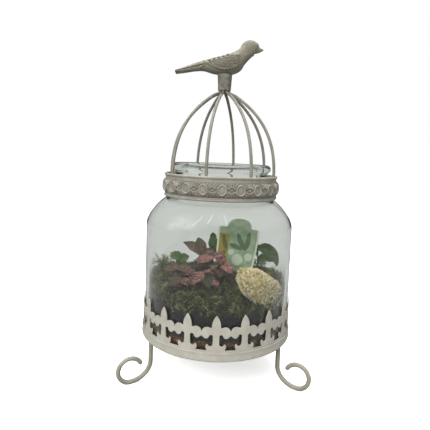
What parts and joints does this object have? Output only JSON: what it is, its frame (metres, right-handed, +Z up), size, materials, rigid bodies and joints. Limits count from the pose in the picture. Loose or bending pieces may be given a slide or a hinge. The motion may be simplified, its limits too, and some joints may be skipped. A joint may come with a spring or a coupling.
{
  "type": "terrarium",
  "caption": "Planted glass jar in a pierced fleur-de-lis metal stand on scroll feet, under a wire birdcage lid with a bird finial.",
  "frame": {"origin": "on the surface the feet rest on, below the middle of the whole object's box", "axes": "+Z up along the jar's axis; -Y to the front, where the two front legs stand and the plants face; +X to the right, the way the bird's beak points"},
  "size_m": [0.1748, 0.1728, 0.3155],
  "materials": {
    "cream_paint": "cream paint over steel, satin, a little worn",
    "cast_cream": "cream paint over a casting, grey-brown patina",
    "jar_glass": "clear moulded glass with a green cast",
    "brown_grit": "loose brown grit",
    "potting_soil": "dark moist soil",
    "green_moss": "matt green moss",
    "cream_lichen": "matt cream reindeer moss",
    "pink_leaf": "satin leaf, pink with dark green spots",
    "green_leaf": "glossy green leaf",
    "wispy_green": "fine matt green sprigs",
    "tag_plastic": "printed plastic card, grey-green"
  },
  "bodies": {
    "root": {"stand_tray": "cream_paint", "stand_band": "cream_paint", "stand_leg_1": "cream_paint", "stand_leg_2": "cream_paint", "stand_leg_3": "cream_paint", "jar": "jar_glass", "lid_collar": "cream_paint", "lid_ferrule": "cream_paint", "lid_bird": "cast_cream", "drainage_grit": "brown_grit", "soil": "potting_soil", "moss_carpet": "green_moss", "reindeer_moss": "cream_lichen", "plant_tag": "tag_plastic", "lid_wire_1": "cream_paint", "lid_wire_2": "cream_paint", "lid_wire_3": "cream_paint", "lid_wire_4": "cream_paint", "lid_wire_5": "cream_paint", "lid_wire_6": "cream_paint", "lid_wire_7": "cream_paint", "lid_wire_8": "cream_paint", "polka_dot_stem_1": "pink_leaf", "polka_dot_stem_2": "pink_leaf", "polka_dot_stem_3": "pink_leaf", "polka_dot_stem_4": "pink_leaf", "polka_dot_stem_5": "pink_leaf", "polka_dot_stem_6": "pink_leaf", "green_stem_1": "green_leaf", "green_stem_2": "green_leaf", "green_stem_3": "green_leaf", "wispy_sprig_1": "wispy_green", "wispy_sprig_2": "wispy_green"}
  },
  "joints": []
}
